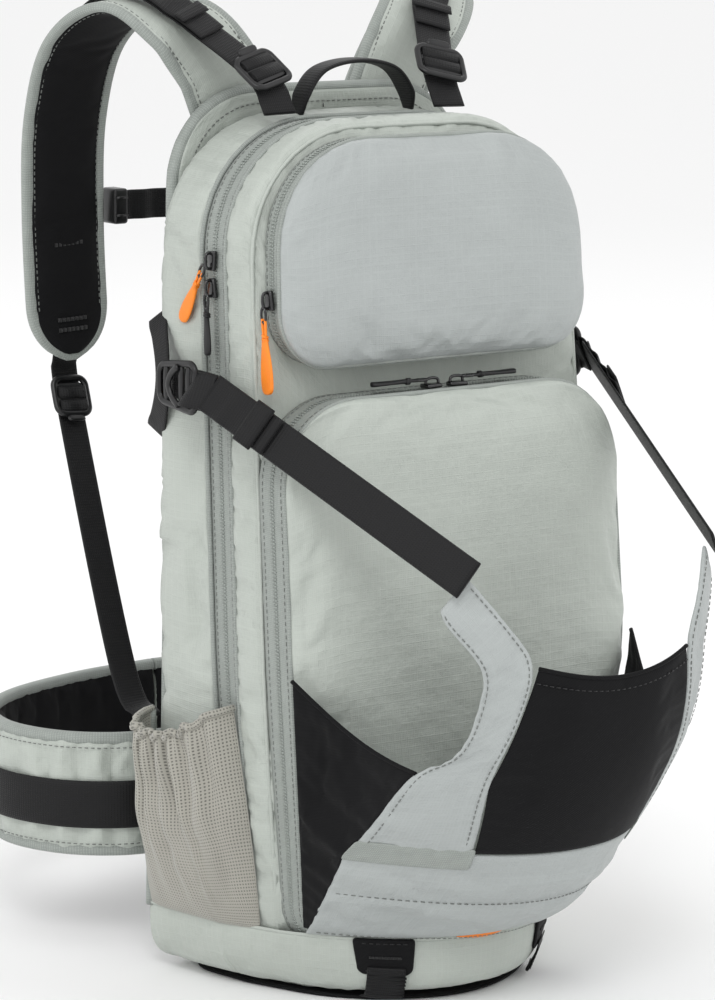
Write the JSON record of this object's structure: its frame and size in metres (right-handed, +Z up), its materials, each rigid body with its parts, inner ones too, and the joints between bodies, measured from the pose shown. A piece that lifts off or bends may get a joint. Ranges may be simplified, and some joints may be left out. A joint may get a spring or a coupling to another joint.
{
  "type": "ski backpack",
  "caption": "Upright ski and touring backpack with a bulging helmet carrier, zipped front pockets, mesh bottle pockets, padded shoulder straps and a closed padded hip belt.",
  "frame": {"origin": "on the flat base, under the middle of the pack", "axes": "+Z up, -Y towards the front with the helmet carrier, +Y towards the wearer's back, +X to the right seen from the front"},
  "size_m": [0.372, 0.5494, 0.6376],
  "materials": {
    "ripstop_pale": "pale sage ripstop nylon, satin",
    "ripstop_grey": "cool grey ripstop nylon, satin",
    "stretch_black": "black stretch nylon, matt",
    "mesh_beige": "beige-grey knitted mesh",
    "webbing_black": "black woven webbing",
    "acetal_black": "moulded black acetal",
    "zip_metal_black": "black lacquered zip slider",
    "pull_orange": "soft orange moulded tab",
    "pull_black": "black cord with moulded end",
    "pad_mesh_black": "black spacer mesh over foam",
    "foam_orange": "layered shock foam",
    "taffeta_orange": "coated orange taffeta, folded"
  },
  "bodies": {
    "pack": {"back_compartment": "ripstop_pale", "front_compartment": "ripstop_pale", "main_zip": "ripstop_grey", "upper_pocket_zip": "ripstop_grey", "upper_pocket": "ripstop_grey", "lower_pocket_zip": "ripstop_grey", "lower_pocket": "ripstop_pale", "base_panel": "stretch_black", "back_panel": "ripstop_pale", "back_pad_left": "pad_mesh_black", "back_pad_right": "pad_mesh_black", "back_protector": "foam_orange", "rain_cover": "taffeta_orange", "bottle_pocket_left": "mesh_beige", "bottle_pocket_right": "mesh_beige", "shoulder_strap_left": "ripstop_pale", "shoulder_strap_right": "ripstop_pale", "load_webbing_left": "webbing_black", "load_webbing_right": "webbing_black", "adjust_webbing_left": "webbing_black", "adjust_webbing_right": "webbing_black", "carrier_gusset_left": "stretch_black", "carrier_gusset_right": "stretch_black", "carrier_strap_left": "webbing_black", "carrier_strap_right": "webbing_black", "strap_keeper_left": "webbing_black", "strap_keeper_right": "webbing_black", "hook_loop_left": "webbing_black", "hook_loop_right": "webbing_black", "lash_patch_left": "stretch_black", "lash_patch_right": "stretch_black"},
    "grab_handle": {"grab_handle": "webbing_black"},
    "load_buckle_left": {"load_buckle_left": "acetal_black"},
    "load_buckle_right": {"load_buckle_right": "acetal_black"},
    "adjust_buckle_left": {"adjust_buckle_left": "acetal_black"},
    "adjust_buckle_right": {"adjust_buckle_right": "acetal_black"},
    "helmet_carrier": {"carrier_base": "ripstop_grey", "carrier_stretch_panel": "stretch_black", "carrier_arm_left": "ripstop_grey", "carrier_arm_right": "ripstop_grey"},
    "carrier_hook_left": {"carrier_hook_left": "acetal_black"},
    "carrier_hook_right": {"carrier_hook_right": "acetal_black"},
    "hip_wing_left": {"hip_wing_left": "ripstop_pale", "belt_closure": "webbing_black"},
    "hip_wing_right": {"hip_wing_right": "ripstop_pale"},
    "sternum_strap": {"sternum_buckle": "acetal_black", "sternum_webbing_left": "webbing_black", "sternum_webbing_right": "webbing_black", "sternum_slider_left": "acetal_black", "sternum_slider_right": "acetal_black"},
    "main_slider_upper": {"main_slider_upper": "zip_metal_black"},
    "main_pull_upper": {"main_pull_upper": "pull_orange"},
    "main_slider_lower": {"main_slider_lower": "zip_metal_black"},
    "main_pull_lower": {"main_pull_lower": "pull_black"},
    "upper_pocket_slider": {"upper_pocket_slider": "zip_metal_black"},
    "upper_pocket_pull": {"upper_pocket_pull": "pull_orange"},
    "lower_pocket_slider_left": {"lower_pocket_slider_left": "zip_metal_black"},
    "lower_pocket_pull_left": {"lower_pocket_pull_left": "pull_black"},
    "lower_pocket_slider_right": {"lower_pocket_slider_right": "zip_metal_black"},
    "lower_pocket_pull_right": {"lower_pocket_pull_right": "pull_black"}
  },
  "joints": [
    {"name": "grab_handle_fold", "type": "hinge", "parent": "pack", "child": "grab_handle", "pos_m": [0, 0.03, 0.5615], "axis": [1, 0, 0], "range_deg": [-35, 60], "stiffness_Nm_per_rad": 0.05},
    {"name": "load_buckle_left_tilt", "type": "hinge", "parent": "pack", "child": "load_buckle_left", "pos_m": [-0.06542, 0.02289, 0.57649], "axis": [0.9449, 0.2374, 0.2252], "range_deg": [0, 30]},
    {"name": "adjust_buckle_left_tilt", "type": "hinge", "parent": "pack", "child": "adjust_buckle_left", "pos_m": [-0.11208, 0.21025, 0.37308], "axis": [-0.9978, 0.0277, 0.0599], "range_deg": [0, 30]},
    {"name": "carrier_hook_left_tilt", "type": "hinge", "parent": "pack", "child": "carrier_hook_left", "pos_m": [-0.1495, -0.017, 0.395], "axis": [0, 0, 1], "range_deg": [0, 40]},
    {"name": "load_buckle_right_tilt", "type": "hinge", "parent": "pack", "child": "load_buckle_right", "pos_m": [0.06542, 0.02289, 0.57649], "axis": [0.9449, -0.2374, -0.2252], "range_deg": [0, 30]},
    {"name": "adjust_buckle_right_tilt", "type": "hinge", "parent": "pack", "child": "adjust_buckle_right", "pos_m": [0.11208, 0.21025, 0.37308], "axis": [-0.9978, -0.0277, -0.0599], "range_deg": [0, 30]},
    {"name": "carrier_hook_right_tilt", "type": "hinge", "parent": "pack", "child": "carrier_hook_right", "pos_m": [0.1495, -0.017, 0.395], "axis": [0, 0, -1], "range_deg": [0, 40]},
    {"name": "carrier_swing", "type": "hinge", "parent": "pack", "child": "helmet_carrier", "pos_m": [0, -0.119, 0.046], "axis": [1, 0, 0], "range_deg": [0, 20], "deforming": ["carrier_gusset_left", "carrier_gusset_right", "carrier_strap_left", "carrier_strap_right"]},
    {"name": "hip_wing_left_open", "type": "hinge", "parent": "pack", "child": "hip_wing_left", "pos_m": [-0.096, 0.0985, 0.108], "axis": [0, 0, 1], "range_deg": [0, 35]},
    {"name": "hip_wing_right_open", "type": "hinge", "parent": "pack", "child": "hip_wing_right", "pos_m": [0.096, 0.0985, 0.108], "axis": [0, 0, -1], "range_deg": [0, 35]},
    {"name": "sternum_strap_height", "type": "slide", "parent": "pack", "child": "sternum_strap", "axis": [0, -0.145, 0.9894], "range_m": [-0.03, 0.03]},
    {"name": "main_slider_upper_run", "type": "hinge", "parent": "pack", "child": "main_slider_upper", "pos_m": [-0.03957, 0.00176, 0.472], "axis": [0, 0.9968, -0.0797], "range_deg": [0, 60]},
    {"name": "main_pull_upper_swing", "type": "hinge", "parent": "main_slider_upper", "child": "main_pull_upper", "pos_m": [-0.13316, 0.00343, 0.46951], "axis": [0, 0.8298, 0.5581], "range_deg": [0, 120]},
    {"name": "main_slider_lower_run", "type": "slide", "parent": "pack", "child": "main_slider_lower", "axis": [-0.0249, -0.0797, -0.9965], "range_m": [0, 0.16]},
    {"name": "main_pull_lower_swing", "type": "hinge", "parent": "main_slider_lower", "child": "main_pull_lower", "pos_m": [-0.1336, 0.00016, 0.45201], "axis": [0, 0.9968, -0.0797], "range_deg": [0, 120]},
    {"name": "upper_pocket_slider_run", "type": "slide", "parent": "pack", "child": "upper_pocket_slider", "axis": [0.039, 0.0797, 0.9961], "range_m": [0, 0.023]},
    {"name": "upper_pocket_pull_swing", "type": "hinge", "parent": "upper_pocket_slider", "child": "upper_pocket_pull", "pos_m": [-0.12471, -0.05062, 0.44851], "axis": [0, 0.995, -0.0995], "range_deg": [0, 120]},
    {"name": "lower_pocket_slider_left_run", "type": "slide", "parent": "pack", "child": "lower_pocket_slider_left", "axis": [-1, 0, 0], "range_m": [0, 0.058]},
    {"name": "lower_pocket_pull_left_swing", "type": "hinge", "parent": "lower_pocket_slider_left", "child": "lower_pocket_pull_left", "pos_m": [-0.0125, -0.0693, 0.3968], "axis": [0, 1, 0], "range_deg": [0, 12]},
    {"name": "lower_pocket_slider_right_run", "type": "slide", "parent": "pack", "child": "lower_pocket_slider_right", "axis": [1, 0, 0], "range_m": [0, 0.058]},
    {"name": "lower_pocket_pull_right_swing", "type": "hinge", "parent": "lower_pocket_slider_right", "child": "lower_pocket_pull_right", "pos_m": [0.0125, -0.0693, 0.3968], "axis": [0, -1, 0], "range_deg": [0, 12]}
  ],
  "couplings": [
    {"joint": "hip_wing_right_open", "follows": "hip_wing_left_open", "ratio": 1}
  ]
}
